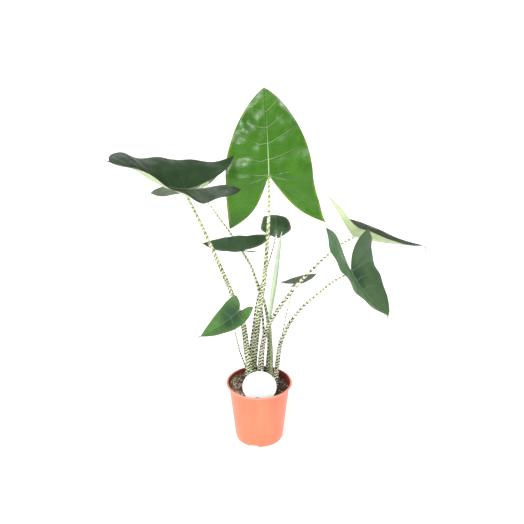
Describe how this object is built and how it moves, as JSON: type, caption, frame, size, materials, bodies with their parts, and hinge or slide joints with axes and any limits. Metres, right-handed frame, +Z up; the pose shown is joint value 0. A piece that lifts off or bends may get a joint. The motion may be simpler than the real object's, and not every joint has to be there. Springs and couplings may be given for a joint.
{
  "type": "potted alocasia plant",
  "caption": "Potted zebrina alocasia: arrow-shaped leaves on slender banded stalks in a flared round nursery pot with a round plant label.",
  "frame": {"origin": "centre of the pot's underside, on the surface that the pot stands on", "axes": "+Z up along the pot's axis, -Y towards the front of the pictured view, +X to its right"},
  "size_m": [0.8305, 0.5675, 1.0108],
  "materials": {
    "pot_plastic": "satin moulded plastic",
    "potting_soil": "rough peat",
    "label_plastic": "satin",
    "leaf_bright": "waxy",
    "leaf_dark": "waxy",
    "leaf_mid": "waxy",
    "leaf_new": "waxy",
    "leaf_stalk": "satin"
  },
  "bodies": {
    "root": {"pot": "pot_plastic", "potting_soil": "potting_soil", "label": "label_plastic", "leaf_top_blade": "leaf_bright", "leaf_top_stalk": "leaf_stalk", "leaf_left_blade": "leaf_dark", "leaf_left_stalk": "leaf_stalk", "leaf_right_blade": "leaf_dark", "leaf_right_stalk": "leaf_stalk", "leaf_hanging_blade": "leaf_mid", "leaf_hanging_stalk": "leaf_stalk", "leaf_low_blade": "leaf_mid", "leaf_low_stalk": "leaf_stalk", "leaf_middle_blade": "leaf_dark", "leaf_middle_stalk": "leaf_stalk", "leaf_far_blade": "leaf_dark", "leaf_far_stalk": "leaf_stalk", "leaf_back_blade": "leaf_dark", "leaf_back_stalk": "leaf_stalk", "leaf_small_blade": "leaf_dark", "leaf_small_stalk": "leaf_stalk", "rolled_leaf_blade": "leaf_new", "rolled_leaf_stalk": "leaf_stalk"}
  },
  "joints": []
}
